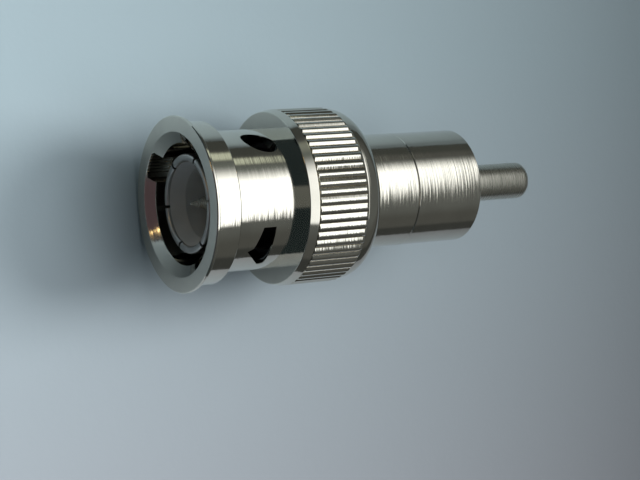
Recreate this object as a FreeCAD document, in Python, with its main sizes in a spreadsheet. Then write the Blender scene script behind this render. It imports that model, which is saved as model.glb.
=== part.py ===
import FreeCAD, Part
import math
import os
import Sketcher

V = FreeCAD.Vector
doc = FreeCAD.newDocument("video_adapter")

# Driving dimensions: millimetres, and degrees where the note says angle
DIMENSIONS = [
    ("flange_radius", 7.13, "rim round the mouth of the coupling nut"),
    ("flange_thickness", 0.25, "thickness of that rim at its edge"),
    ("flange_slope", 0.17, "length of the cone behind the rim"),
    ("flange_bevel", 0.07, "broken front edge of the rim"),
    ("mouth_radius", 5.85, "wide end of the lead-in cone at the mouth"),
    ("lead_in_depth", 0.6, "depth of the lead-in cone"),
    ("jack_bore_radius", 4.92, "bore that slides over the mating jack"),
    ("collar_radius", 6.62, "smooth collar behind the rim"),
    ("collar_length", 2.0, "length of the collar"),
    ("waist_radius", 5.75, "thin wall that carries the lug openings"),
    ("waist_length", 5.88, "waist from the collar to the grip"),
    ("waist_fillet", 0.1, "small fillet where the waist meets the grip"),
    ("grip_face_radius", 7.09, "outer edge of the grip's flat front face"),
    ("grip_taper_length", 0.78, "smooth tapered band in front of the knurl"),
    ("ring_line_width", 0.12, "narrow groove between that band and the knurl"),
    ("ring_line_depth", 0.18, "depth of that groove"),
    ("knurl_radius", 7.28, "over the tops of the knurl teeth"),
    ("knurl_length", 4.3, "length of the knurl teeth"),
    ("knurl_depth", 0.2, "depth of the grooves between the teeth"),
    ("knurl_groove_width", 0.5, "width of a groove at the outside"),
    ("knurl_count", 62, "number of teeth"),
    ("bead_step", 0.14, "step down from the knurl to the rolled rear shoulder"),
    ("bead_drop", 0.69, "how far the rolled shoulder falls to the rear"),
    ("bead_length", 1.78, "length of the rolled shoulder"),
    ("rim_thickness", 0.75, "wall that the rolled edge forms behind the washers"),
    ("rim_gap", 0.26, "gap between the nut's rolled edge and the barrel"),
    ("nut_web", 0.65, "wall between the grip's front face and the spring chamber"),
    ("chamber_width", 1.21, "room round the barrel for the flange and the washers"),
    ("entry_width", 2.5, "groove by which the jack's lug enters"),
    ("entry_wall", 0.13, "wall left outside the entry groove"),
    ("entry_angle", -54.0, "angle of the first entry groove about the axis"),
    ("opening_back", 5.97, "rear edge of the opening where the track begins"),
    ("opening_start", 1.07, "side of that opening before the groove's middle"),
    ("opening_length", 1.12, "its length along the axis at that side"),
    ("opening_knee", 0.87, "corner of its front edge, past the groove's middle"),
    ("opening_knee_step", 0.5, "fall of the front edge from the side to that corner"),
    ("opening_tip", 1.18, "foremost point of the opening, past the groove's middle"),
    ("opening_tip_step", 0.47, "fall of the front edge from the corner to that point"),
    ("opening_end", 2.88, "far side of the opening, past the groove's middle"),
    ("opening_round", 0.4, "rounding of the far side"),
    ("lock_half_length", 1.55, "half length of the oval opening where the lug locks"),
    ("lock_half_width", 1.08, "half width of that opening"),
    ("lock_tilt", -39.0, "angle of that oval's length against the axis"),
    ("lock_height", 5.9, "its distance behind the mouth"),
    ("lock_turn", 93.5, "its angle past the entry groove"),
    ("track_width", 2.6, "track inside the wall, for a lug of 2 mm"),
    ("track_wall", 0.3, "wall left outside the track"),
    ("track_height", 5.6, "middle of the track, halfway between its ends"),
    ("track_tilt", 6.0, "angle of the track's climb"),
    ("nut_rest_gap", 0.05, "gap between nut and body flange at rest"),
    ("nut_running_gap", 0.08, "radial gap of the running fit of flange and chamber"),
    ("body_flange_length", 3.2, "flange that the nut pulls on"),
    ("barrel_radius", 4.79, "visible barrel behind the nut"),
    ("seam_height", 20.3, "seam between body and phono shell, from the mouth"),
    ("seam_gap", 0.03, "width of that seam"),
    ("edge_bevel", 0.1, "broken edges of the turned pieces"),
    ("spring_height", 1.75, "wave washer at rest"),
    ("spring_thickness", 0.25, "strip thickness of the wave washer"),
    ("washer_thickness", 0.5, "flat thrust washer"),
    ("washer_gap", 0.15, "radial gap between washers, barrel and chamber"),
    ("washer_play", 0.05, "gap between thrust washer and rolled edge"),
    ("assembly_gap", 0.02, "clearance of pieces that are pressed together"),
    ("contact_front", 0.92, "lip of the finger sleeve, from the mouth"),
    ("contact_radius", 4.05, "finger sleeve over its contact band and its seat"),
    ("contact_band", 1.3, "length of the contact band"),
    ("contact_taper", 0.9, "taper behind the contact band"),
    ("contact_neck_radius", 3.86, "fingers behind the taper"),
    ("contact_bore_radius", 3.42, "bore of the finger sleeve"),
    ("contact_lip_round", 0.28, "rounding of the sleeve's lip"),
    ("contact_seat", 4.6, "length of sleeve held in the body"),
    ("slot_width", 0.28, "slots between the fingers"),
    ("slot_depth", 4.0, "length of the slots from the lip"),
    ("slot_count", 6, "number of fingers"),
    ("slot_turn", 30.0, "angle of the first slot about the axis"),
    ("seal_gap", 0.1, "gap between the seal ring and the sleeve"),
    ("seal_width", 0.5, "width of the seal ring"),
    ("seal_length", 1.1, "height of the seal ring on the body's face"),
    ("seal_bevel", 0.15, "bevels of the seal ring's front edges"),
    ("front_insulator_front", 6.2, "front of the front insulator, from the mouth"),
    ("pin_front", 1.28, "point of the centre pin, from the mouth"),
    ("pin_radius", 0.675, "centre pin"),
    ("pin_tip_radius", 0.1, "blunt point of the centre pin"),
    ("pin_tip_length", 1.7, "cone at the end of the centre pin"),
    ("socket_radius", 1.6, "rear socket of the centre pin"),
    ("socket_front", 9.3, "front of that socket, from the mouth"),
    ("socket_length", 6.9, "length of the socket"),
    ("socket_depth", 4.0, "depth of its bore"),
    ("shank_radius", 1.1, "shank of the phono pin in the socket"),
    ("shank_end_gap", 0.2, "gap between that shank and the bottom of the socket"),
    ("phono_pin_radius", 1.5875, "phono pin"),
    ("pin_root_radius", 1.75, "thicker root of the phono pin in the rear insulator"),
    ("pin_root_cone", 0.2, "length of the cone from that root down to the pin"),
    ("phono_pin_back", 34.4, "end of the phono pin, from the mouth"),
    ("phono_pin_round", 0.65, "rounding of the phono pin's end"),
    ("rear_insulator_front", 16.4, "front of the rear insulator, from the mouth"),
    ("rear_insulator_length", 4.5, "length of the rear insulator"),
    ("rear_insulator_radius", 3.2, "outside of the rear insulator"),
    ("rear_insulator_ledge", 0.4, "ledge of the body that it seats on"),
    ("shell_back", 26.65, "end of the phono shell, from the mouth"),
    ("shell_wall", 0.64, "wall of the phono shell"),
    ("shell_neck_step", 0.79, "step from the shell down to its neck in the body"),
    ("shell_neck_length", 2.0, "length of that neck"),
    ("shell_edge_round", 0.14, "rounding of the shell's outer rear edge"),
    ("shell_mouth_bevel", 0.2, "bevel inside the shell's rear edge"),
]

sheet = doc.addObject("Spreadsheet::Sheet", "sizes")
for row, (alias, amount, meaning) in enumerate(DIMENSIONS, start=1):
    sheet.set("A%d" % row, alias)
    sheet.set("B%d" % row, str(amount))
    sheet.set("C%d" % row, meaning)
    sheet.setAlias("B%d" % row, alias)
doc.recompute()


class Size:
    """A number together with the formula over the sheet's cells that gives it."""

    def __init__(self, text, value):
        self.text = text
        self.value = value

    def joined(self, sign, other, value):
        return Size("(%s %s %s)" % (self.text, sign, other.text), value)

    def __add__(self, other):
        other = as_size(other)
        return self.joined("+", other, self.value + other.value)

    def __sub__(self, other):
        other = as_size(other)
        return self.joined("-", other, self.value - other.value)

    def __mul__(self, other):
        other = as_size(other)
        return self.joined("*", other, self.value * other.value)

    def __truediv__(self, other):
        other = as_size(other)
        return self.joined("/", other, self.value / other.value)

    def __neg__(self):
        return Size("(0 - %s)" % self.text, -self.value)


def as_size(item):
    if isinstance(item, Size):
        return item
    return Size(repr(float(item)), float(item))


def cell(alias):
    return Size("sizes." + alias, float(sheet.get(alias)))


def bind(item, path, size):
    """Set a property from a Size, as a formula over the sheet."""
    item.setExpression(path, as_size(size).text)


def origin_plane(body, role):
    for feature in body.Origin.OriginFeatures:
        if feature.Role == role:
            return feature
    raise ValueError("no origin plane " + role)


def closed_sketch(body, name, role, corners, rounds=None):
    """A closed outline; rounds[i] = (radius, side) makes an arc of the line from corner i.

    side is 1 where the arc's centre lies left of the way from corner i to the next, else -1.
    """
    rounds = rounds or {}
    sketch = body.newObject("Sketcher::SketchObject", name)
    sketch.AttachmentSupport = [(origin_plane(body, role), "")]
    sketch.MapMode = "FlatFace"
    corners = [(as_size(across), as_size(up)) for across, up in corners]
    points = [V(across.value, up.value, 0) for across, up in corners]
    count = len(corners)
    for i in range(count):
        start, end = points[i], points[(i + 1) % count]
        if i in rounds:
            radius, side = rounds[i]
            sketch.addGeometry(short_arc(start, end, radius.value, side), False)
        else:
            sketch.addGeometry(Part.LineSegment(start, end), False)
    for i in range(count):
        following = (i + 1) % count
        own_start, own_end = side_ends(sketch, i, points[i])
        next_start, next_end = side_ends(sketch, following, points[following])
        sketch.addConstraint(
            Sketcher.Constraint("Coincident", i, own_end, following, next_start))
        hold(sketch, "DistanceX", i, own_start, corners[i][0])
        hold(sketch, "DistanceY", i, own_start, corners[i][1])
        if i in rounds:
            radius = rounds[i][0]
            number = sketch.addConstraint(Sketcher.Constraint("Radius", i, radius.value))
            sketch.setExpression("Constraints[%d]" % number, radius.text)
    return sketch


def short_arc(start, end, radius, side):
    middle = (start + end) * 0.5
    half = (end - start).Length / 2
    rise = math.sqrt(max(radius * radius - half * half, 0.0))
    left = V(start.y - end.y, end.x - start.x, 0).normalize()
    centre = middle + left * (rise * side)
    top = centre - left * (radius * side)
    return Part.Arc(start, top, end)


def side_ends(sketch, index, start):
    """The point numbers of a side's two ends: the sketcher turns every arc anticlockwise."""
    return (1, 2) if sketch.getPoint(index, 1).distanceToPoint(start) < 1e-5 else (2, 1)


def hold(sketch, kind, index, point, size):
    number = sketch.addConstraint(Sketcher.Constraint(kind, -1, 1, index, point, size.value))
    sketch.setExpression("Constraints[%d]" % number, size.text)


def new_body(name):
    body = doc.addObject("PartDesign::Body", name)
    body.Label = name
    return body


def turned_body(name, corners, rounds=None):
    """A piece turned about the Z axis from a half section of (radius, height) corners."""
    body = new_body(name)
    sketch = closed_sketch(body, name + "_section", "XZ_Plane", corners, rounds)
    turn = body.newObject("PartDesign::Revolution", name + "_turned")
    turn.Profile = sketch
    turn.ReferenceAxis = (sketch, ["V_Axis"])
    turn.Angle = 360
    body.Tip = turn
    doc.recompute()
    return body


def cut_round(body, name, corners, height, length, count):
    """Cut a section downwards from a height, then repeat the cut round the Z axis."""
    sketch = closed_sketch(body, name + "_section", "XY_Plane", corners)
    bind(sketch, "AttachmentOffset.Base.z", height)
    cut = body.newObject("PartDesign::Pocket", name + "_cut")
    cut.Profile = sketch
    bind(cut, "Length", length)
    body.Tip = cut
    doc.recompute()
    pattern = body.newObject("PartDesign::PolarPattern", name + "_pattern")
    pattern.Originals = [cut]
    pattern.Axis = (sketch, ["N_Axis"])
    pattern.Angle = 360
    bind(pattern, "Occurrences", count)
    body.Tip = pattern
    doc.recompute()


def padded_body(name, corners, length, rounds=None):
    """A block from the axis outwards along X, its section given across and along the axis."""
    body = new_body(name)
    pad = body.newObject("PartDesign::Pad", name + "_pad")
    pad.Profile = closed_sketch(body, name + "_section", "YZ_Plane", corners, rounds)
    bind(pad, "Length", length)
    body.Tip = pad
    doc.recompute()
    return body


def turned_about(name, item, axis, angle, height=0):
    """The item, turned about an axis through the origin and then lifted."""
    held = doc.addObject("Part::Compound", name)
    held.Links = [item]
    held.Placement = FreeCAD.Placement(V(0, 0, 0), FreeCAD.Rotation(axis, 10))
    bind(held, "Placement.Rotation.Angle", angle)
    bind(held, "Placement.Base.z", height)
    return held


def box(name, length, width, height, x, y, z):
    item = doc.addObject("Part::Box", name)
    bind(item, "Length", length)
    bind(item, "Width", width)
    bind(item, "Height", height)
    bind(item, "Placement.Base.x", x)
    bind(item, "Placement.Base.y", y)
    bind(item, "Placement.Base.z", z)
    return item


def cylinder(name, radius, height, z=0):
    item = doc.addObject("Part::Cylinder", name)
    bind(item, "Radius", radius)
    bind(item, "Height", height)
    bind(item, "Placement.Base.z", z)
    return item


def boolean(kind, name, base, tool):
    item = doc.addObject("Part::" + kind, name)
    item.Base = base
    item.Tool = tool
    return item


# Heights along the axis, from the mouth of the coupling nut
rim_back = cell("flange_thickness") + cell("flange_slope")
collar_back = rim_back + cell("collar_length")
grip_face = collar_back + cell("waist_length")
taper_back = grip_face + cell("grip_taper_length")
knurl_front = taper_back + cell("ring_line_width")
knurl_back = knurl_front + cell("knurl_length")
nut_back = knurl_back + cell("bead_length")
rim_front = nut_back - cell("rim_thickness")
chamber_front = grip_face + cell("nut_web")
body_front = chamber_front + cell("nut_rest_gap")
body_flange_back = body_front + cell("body_flange_length")
spring_back = body_flange_back + cell("spring_height")
washer_back = spring_back + cell("washer_thickness")
contact_back = body_front + cell("contact_seat")
socket_back = cell("socket_front") + cell("socket_length")
rear_insulator_back = cell("rear_insulator_front") + cell("rear_insulator_length")
neck_front = cell("seam_height") - cell("shell_neck_length")
bevel = cell("edge_bevel")
gap = cell("assembly_gap")

# Radii that follow from another piece
rim_bore_radius = cell("barrel_radius") + cell("rim_gap")
chamber_radius = cell("barrel_radius") + cell("chamber_width")
entry_radius = cell("waist_radius") - cell("entry_wall")
track_radius = cell("waist_radius") - cell("track_wall")
seal_inner_radius = cell("contact_radius") + cell("seal_gap")
seal_outer_radius = seal_inner_radius + cell("seal_width")
shell_bore_radius = cell("barrel_radius") - cell("shell_wall")
shell_neck_radius = cell("barrel_radius") - cell("shell_neck_step")
body_bore = cell("contact_radius") + gap
step_radius = cell("rear_insulator_radius") - cell("rear_insulator_ledge")


# Coupling nut: turned blank with the rim, the waist and the rolled rear edge
bead_start = cell("knurl_radius") - cell("bead_step")
bead_drop = cell("bead_drop")
bead_arc = (bead_drop * bead_drop + cell("bead_length") * cell("bead_length")) / (bead_drop * 2)
ring_line_radius = cell("knurl_radius") - cell("ring_line_depth")
nut_blank = turned_body("nut_blank", [
    (cell("mouth_radius"), 0),
    (cell("flange_radius") - cell("flange_bevel"), 0),
    (cell("flange_radius"), cell("flange_bevel")),
    (cell("flange_radius"), cell("flange_thickness")),
    (cell("collar_radius"), rim_back),
    (cell("collar_radius"), collar_back - bevel),
    (cell("collar_radius") - bevel, collar_back),
    (cell("waist_radius"), collar_back),
    (cell("waist_radius"), grip_face - cell("waist_fillet")),
    (cell("waist_radius") + cell("waist_fillet"), grip_face),
    (cell("grip_face_radius"), grip_face),
    (cell("knurl_radius"), taper_back),
    (ring_line_radius, taper_back),
    (ring_line_radius, knurl_front),
    (cell("knurl_radius") - bevel, knurl_front),
    (cell("knurl_radius"), knurl_front + bevel),
    (cell("knurl_radius"), knurl_back - bevel),
    (bead_start, knurl_back),
    (bead_start - bead_drop, nut_back),
    (rim_bore_radius + bevel, nut_back),
    (rim_bore_radius, nut_back - bevel),
    (rim_bore_radius, rim_front),
    (chamber_radius, rim_front),
    (chamber_radius, chamber_front),
    (cell("jack_bore_radius"), chamber_front),
    (cell("jack_bore_radius"), cell("lead_in_depth")),
], {
    8: (cell("waist_fillet"), -1),
    17: (bead_arc, 1),
})

# Coupling nut: straight knurl, one V-shaped groove repeated round the grip
groove_reach = cell("knurl_radius") + cell("knurl_depth")
cut_round(nut_blank, "knurl", [
    (cell("knurl_radius") - cell("knurl_depth"), 0),
    (groove_reach, -cell("knurl_groove_width")),
    (groove_reach, cell("knurl_groove_width")),
], knurl_back, cell("knurl_length"), cell("knurl_count"))

# Coupling nut: the groove by which a lug of the jack enters
across = cell("waist_radius") + 1
entry_slab = box("entry_slab", across, cell("entry_width"), cell("opening_back"),
                 0, cell("entry_width") / -2, 0)
entry_limit = cylinder("entry_limit", entry_radius, cell("opening_back"))
entry_groove = boolean("Common", "entry_groove", entry_slab, entry_limit)

# Coupling nut: the opening over the end of that groove, where the lug's track begins
opening_front = cell("opening_back") - cell("opening_length")
knee_height = opening_front - cell("opening_knee_step")
opening_round = cell("opening_round")
start_opening = padded_body("start_opening", [
    (-cell("opening_start"), cell("opening_back")),
    (-cell("opening_start"), opening_front),
    (cell("opening_knee"), knee_height),
    (cell("opening_tip"), knee_height - cell("opening_tip_step")),
    (cell("opening_end"), cell("opening_back") - opening_round * 1.45),
    (cell("opening_end") - opening_round * 0.6, cell("opening_back")),
], across, {
    4: (opening_round, 1),
})

# Coupling nut: the oval opening over the end of the track, where the lug locks
lock_oval = doc.addObject("Part::Ellipse", "lock_oval")
bind(lock_oval, "MajorRadius", cell("lock_half_length"))
bind(lock_oval, "MinorRadius", cell("lock_half_width"))
lock_block = doc.addObject("Part::Extrusion", "lock_block")
lock_block.Base = lock_oval
lock_block.Dir = V(0, 0, 1)
lock_block.Solid = True
bind(lock_block, "LengthFwd", across)
lock_tilted = turned_about("lock_tilted", lock_block, V(0, 0, 1), cell("lock_tilt"))
lock_level = turned_about("lock_level", lock_tilted, V(0, 1, 0), 90)
lock_turned = turned_about("lock_turned", lock_level, V(0, 0, 1), cell("lock_turn"),
                           cell("lock_height"))

# Coupling nut: the climbing track inside the wall, from the entry to the lock
track_slab = box("track_slab", track_radius, track_radius * 1.46,
                 cell("track_width"), track_radius / 2,
                 track_radius * -0.73, cell("track_width") / -2)
track_climb = turned_about("track_climb", track_slab, V(1, 0, 0), cell("track_tilt"),
                           cell("track_height"))
track_limit = cylinder("track_limit", track_radius, grip_face)
track_groove = boolean("Common", "track_groove", track_climb, track_limit)
track_turned = turned_about("track_turned", track_groove, V(0, 0, 1), cell("lock_turn") / 2)

# Coupling nut: the whole way of one lug, and the same for the other lug opposite
lug_way = doc.addObject("Part::MultiFuse", "lug_way")
lug_way.Shapes = [entry_groove, start_opening, lock_turned, track_turned]
first_way = turned_about("first_way", lug_way, V(0, 0, 1), cell("entry_angle"))
second_way = turned_about("second_way", lug_way, V(0, 0, 1), cell("entry_angle") + 180)
one_way_cut = boolean("Cut", "one_way_cut", nut_blank, first_way)
coupling_nut = boolean("Cut", "coupling_nut", one_way_cut, second_way)

# Body: flange inside the nut, barrel behind it, bored for the inner pieces
turned_body("adapter_body", [
    (body_bore, body_front),
    (chamber_radius - cell("nut_running_gap"), body_front),
    (chamber_radius - cell("nut_running_gap"), body_flange_back),
    (cell("barrel_radius"), body_flange_back),
    (cell("barrel_radius"), cell("seam_height") - bevel),
    (cell("barrel_radius") - bevel, cell("seam_height")),
    (shell_neck_radius + gap, cell("seam_height")),
    (shell_neck_radius + gap, neck_front - gap),
    (cell("rear_insulator_radius") + gap, neck_front - gap),
    (cell("rear_insulator_radius") + gap, cell("rear_insulator_front") - gap),
    (step_radius, cell("rear_insulator_front") - gap),
    (step_radius, contact_back + gap),
    (body_bore, contact_back + gap),
])

# Finger sleeve: turned, then slotted round its lip
lip = cell("contact_lip_round")
contact = turned_body("outer_contact", [
    (cell("contact_bore_radius"), cell("contact_front") + lip),
    (cell("contact_bore_radius") + lip, cell("contact_front")),
    (cell("contact_radius") - lip, cell("contact_front")),
    (cell("contact_radius"), cell("contact_front") + lip),
    (cell("contact_radius"), cell("contact_front") + cell("contact_band")),
    (cell("contact_neck_radius"),
     cell("contact_front") + cell("contact_band") + cell("contact_taper")),
    (cell("contact_neck_radius"), body_front - cell("seal_length") * 2),
    (cell("contact_radius"), body_front - cell("seal_length") - bevel),
    (cell("contact_radius"), contact_back),
    (cell("contact_bore_radius"), contact_back),
], {
    0: (lip, -1),
    2: (lip, 1),
})
slot_back = cell("contact_front") + cell("slot_depth")
cut_round(contact, "slot", [
    (cell("contact_bore_radius") - 0.5, cell("slot_width") / -2),
    (cell("contact_radius") + 0.5, cell("slot_width") / -2),
    (cell("contact_radius") + 0.5, cell("slot_width") / 2),
    (cell("contact_bore_radius") - 0.5, cell("slot_width") / 2),
], slot_back, cell("slot_depth") + 0.5, cell("slot_count"))
contact.Placement = FreeCAD.Placement(V(0, 0, 0), FreeCAD.Rotation(V(0, 0, 1), 10))
bind(contact, "Placement.Rotation.Angle", cell("slot_turn"))

# Seal ring on the body's front face
seal_front = body_front - gap - cell("seal_length")
seal_edge = cell("seal_bevel")
turned_body("seal_ring", [
    (seal_inner_radius, seal_front + seal_edge),
    (seal_inner_radius + seal_edge, seal_front),
    (seal_outer_radius - seal_edge, seal_front),
    (seal_outer_radius, seal_front + seal_edge),
    (seal_outer_radius, body_front - gap),
    (seal_inner_radius, body_front - gap),
])

# Insulators that carry the two ends of the centre conductor
turned_body("front_insulator", [
    (cell("pin_radius") + gap, cell("front_insulator_front")),
    (cell("contact_bore_radius") - gap, cell("front_insulator_front")),
    (cell("contact_bore_radius") - gap, contact_back),
    (cell("socket_radius") + gap, contact_back),
    (cell("socket_radius") + gap, cell("socket_front") - gap),
    (cell("pin_radius") + gap, cell("socket_front") - gap),
])
turned_body("rear_insulator", [
    (cell("pin_root_radius") + gap, cell("rear_insulator_front")),
    (cell("rear_insulator_radius"), cell("rear_insulator_front")),
    (cell("rear_insulator_radius"), rear_insulator_back),
    (cell("pin_root_radius") + gap, rear_insulator_back),
])

# Centre pin with its rear socket
turned_body("centre_pin", [
    (0, cell("pin_front")),
    (cell("pin_tip_radius"), cell("pin_front")),
    (cell("pin_radius"), cell("pin_front") + cell("pin_tip_length")),
    (cell("pin_radius"), cell("socket_front")),
    (cell("socket_radius"), cell("socket_front")),
    (cell("socket_radius"), socket_back),
    (cell("shank_radius") + gap, socket_back),
    (cell("shank_radius") + gap, socket_back - cell("socket_depth")),
    (0, socket_back - cell("socket_depth")),
])

# Phono pin, its shank pressed into that socket
pin_round = cell("phono_pin_round")
shank_front = socket_back - cell("socket_depth") + cell("shank_end_gap")
turned_body("phono_pin", [
    (0, shank_front),
    (cell("shank_radius"), shank_front),
    (cell("shank_radius"), socket_back + gap),
    (cell("pin_root_radius"), socket_back + gap),
    (cell("pin_root_radius"), rear_insulator_back),
    (cell("phono_pin_radius"), rear_insulator_back + cell("pin_root_cone")),
    (cell("phono_pin_radius"), cell("phono_pin_back") - pin_round),
    (cell("phono_pin_radius") - pin_round, cell("phono_pin_back")),
    (0, cell("phono_pin_back")),
], {
    6: (pin_round, 1),
})

# Phono shell, its neck pressed into the body
shell_round = cell("shell_edge_round")
shell_bevel = cell("shell_mouth_bevel")
turned_body("phono_shell", [
    (cell("rear_insulator_radius") + gap, neck_front),
    (shell_neck_radius, neck_front),
    (shell_neck_radius, cell("seam_height") + cell("seam_gap")),
    (cell("barrel_radius") - bevel, cell("seam_height") + cell("seam_gap")),
    (cell("barrel_radius"), cell("seam_height") + cell("seam_gap") + bevel),
    (cell("barrel_radius"), cell("shell_back") - shell_round),
    (cell("barrel_radius") - shell_round, cell("shell_back")),
    (shell_bore_radius + shell_bevel, cell("shell_back")),
    (shell_bore_radius, cell("shell_back") - shell_bevel),
    (shell_bore_radius, rear_insulator_back),
    (cell("rear_insulator_radius") + gap, rear_insulator_back),
], {
    5: (shell_round, 1),
})

# Flat washer that the rolled edge pushes forward
turned_body("thrust_washer", [
    (cell("barrel_radius") + cell("washer_gap"), spring_back),
    (chamber_radius - cell("washer_gap"), spring_back),
    (chamber_radius - cell("washer_gap"), washer_back),
    (cell("barrel_radius") + cell("washer_gap"), washer_back),
])

# Wave washer: a ring cut from a bent strip, so that it has two high and two low points
spring_outer = chamber_radius - cell("washer_gap")
spring_inner = cell("barrel_radius") + cell("washer_gap")
spring_top = cell("spring_height") - gap * 2
strip = cell("spring_thickness")
bend = (spring_top * spring_top - strip * strip + spring_outer * spring_outer)
bend = bend / ((spring_top - strip) * 2)
long = spring_outer * 2 + 2
bend_outside = cylinder("bend_outside", bend, long, long / -2)
bend_inside = cylinder("bend_inside", bend - strip, long, long / -2)
bent_strip = boolean("Cut", "bent_strip", bend_outside, bend_inside)
strip_level = turned_about("strip_level", bent_strip, V(0, 1, 0), 90,
                           spring_back - gap - bend)
ring_outside = cylinder("ring_outside", spring_outer, cell("spring_height"), body_flange_back)
ring_inside = cylinder("ring_inside", spring_inner, cell("spring_height"), body_flange_back)
spring_ring = boolean("Cut", "spring_ring", ring_outside, ring_inside)
wave_washer = boolean("Common", "wave_washer", spring_ring, strip_level)

doc.recompute()

# Check every object, then write one STEP file for each piece
PIECES = ["coupling_nut", "adapter_body", "outer_contact", "seal_ring", "front_insulator",
          "centre_pin", "rear_insulator", "phono_pin", "phono_shell", "thrust_washer",
          "wave_washer"]
for item in doc.Objects:
    if "Invalid" in item.State or "Error" in item.State:
        raise RuntimeError("%s did not recompute: %s" % (item.Name, item.State))
for item in doc.Objects:
    if item.TypeId == "Sketcher::SketchObject" and item.solve() != 0:
        raise RuntimeError("%s is not solved" % item.Name)
os.makedirs("parts", exist_ok=True)
for piece in PIECES:
    item = doc.getObject(piece)
    if item.Shape.isNull() or not item.Shape.isValid() or len(item.Shape.Solids) != 1:
        raise RuntimeError("%s is not one valid solid" % piece)
    item.Shape.exportStep("parts/%s.step" % item.Label)
    print("%s %.2f mm3" % (item.Label, item.Shape.Volume))
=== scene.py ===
import math

import bmesh
import bpy
from bpy.props import FloatProperty, FloatVectorProperty, IntProperty, PointerProperty
from mathutils import Matrix, Vector


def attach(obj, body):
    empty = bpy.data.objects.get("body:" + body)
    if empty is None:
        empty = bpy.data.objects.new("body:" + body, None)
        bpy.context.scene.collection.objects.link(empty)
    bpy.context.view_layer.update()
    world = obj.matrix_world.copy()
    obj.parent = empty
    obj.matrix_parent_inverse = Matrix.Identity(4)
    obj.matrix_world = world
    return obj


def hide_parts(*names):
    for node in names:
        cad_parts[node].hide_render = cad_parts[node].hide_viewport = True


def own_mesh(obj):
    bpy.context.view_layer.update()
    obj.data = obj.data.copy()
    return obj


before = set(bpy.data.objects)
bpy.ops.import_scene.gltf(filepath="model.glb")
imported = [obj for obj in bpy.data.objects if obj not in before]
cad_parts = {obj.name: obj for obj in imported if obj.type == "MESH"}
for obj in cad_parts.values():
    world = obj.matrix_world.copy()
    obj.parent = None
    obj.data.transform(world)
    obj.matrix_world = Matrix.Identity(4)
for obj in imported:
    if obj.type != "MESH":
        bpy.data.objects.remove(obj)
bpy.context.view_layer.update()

bl_info = {
    "name": "Coaxial Video Adapter",
    "version": (1, 0, 0),
    "blender": (4, 5, 0),
    "location": "3D View > Sidebar > Adapter",
    "description": "Builds the looks of a bayonet to phono adapter round its CAD frame",
    "category": "Object",
}

MM = 0.001
BODY = "body"
NUT = "coupling_nut"


# Sizes and colours a user would change


def length(name, description, millimetres):
    return FloatProperty(
        name=name,
        description=description,
        default=millimetres * MM,
        min=0.0,
        precision=5,
        unit="LENGTH",
    )


def tone(name, description, colour):
    return FloatVectorProperty(
        name=name,
        description=description,
        default=colour,
        min=0.0,
        max=1.0,
        subtype="COLOR",
    )


class NutSizes(bpy.types.PropertyGroup):
    rim_radius: length("Rim Radius", "Rim round the mouth", 7.13)
    mouth_radius: length("Mouth Radius", "Wide end of the lead-in cone", 5.85)
    bore_radius: length("Bore Radius", "Bore that slides over the jack", 4.92)
    collar_radius: length("Collar Radius", "Collar behind the rim", 6.62)
    waist_radius: length("Waist Radius", "Thin wall with the lug openings", 5.75)
    grip_radius: length("Grip Radius", "Over the tops of the knurl bars", 7.28)
    tooth_length: length("Tooth Length", "Length of one knurl tooth", 4.55)
    tooth_round: length("Tooth End", "Rounding at the rear end of a tooth", 0.22)
    tooth_count: IntProperty(
        name="Teeth", description="Knurl teeth round the grip", default=62, min=8
    )
    opening_back: length("Opening", "Rear edge of the opening over the entry", 6.1)
    lock_height: length("Lock", "Height of the oval opening where a lug locks", 6.02)
    entry_turn: FloatProperty(
        name="Entry Turn",
        description="Angle of the first lug entry about the axis",
        default=math.radians(-54.0),
        unit="ROTATION",
    )


class BarrelSizes(bpy.types.PropertyGroup):
    barrel_radius: length("Barrel Radius", "Smooth barrel behind the nut", 4.79)
    seam: length("Seam", "Height of the seam between body and shell", 20.3)
    shell_end: length("Shell End", "Height of the shell's rear edge", 26.65)
    shell_bore: length("Shell Bore", "Bore of the phono shell", 4.15)
    pin_radius: length("Pin Radius", "Phono pin", 1.5875)
    pin_end: length("Pin End", "Height of the phono pin's end", 34.4)


class ContactSizes(bpy.types.PropertyGroup):
    lip_radius: length("Lip Radius", "Sleeve over its contact band", 4.05)
    neck_radius: length("Neck Radius", "Fingers behind the band", 3.86)
    bore_radius: length("Bore Radius", "Bore of the sleeve", 3.42)
    slot_width: length("Slot Width", "Slots between the fingers", 0.28)
    slot_length: length("Slot Length", "Length of the slots from the lip", 4.0)
    fingers: IntProperty(
        name="Fingers", description="Fingers round the sleeve", default=6, min=2
    )
    slot_turn: FloatProperty(
        name="Slot Turn",
        description="Angle of the first slot about the axis",
        default=math.radians(30.0),
        unit="ROTATION",
    )
    tip_radius: length("Centre Pin Radius", "Thin pin in the mouth", 0.675)
    tip_height: length("Centre Pin Tip", "Height of its point", 1.28)


class FinishTones(bpy.types.PropertyGroup):
    bright: tone("Bright Nickel", "Plating of nut and barrel", (0.67, 0.64, 0.57))
    satin: tone("Satin Nickel", "Plating of the finger sleeve", (0.50, 0.49, 0.47))
    pin: tone("Pin Plating", "Plating of the two pins", (0.62, 0.60, 0.53))
    plastic: tone("Insulator", "Moulded insulators", (0.62, 0.62, 0.60))
    rubber: tone("Seal", "Soft seal ring", (0.02, 0.02, 0.022))
    steel: tone("Washer Steel", "Washers in the nut", (0.45, 0.45, 0.46))
    table: tone("Table", "Pale surface under the adapter", (0.34, 0.43, 0.48))


# Shapes


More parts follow.
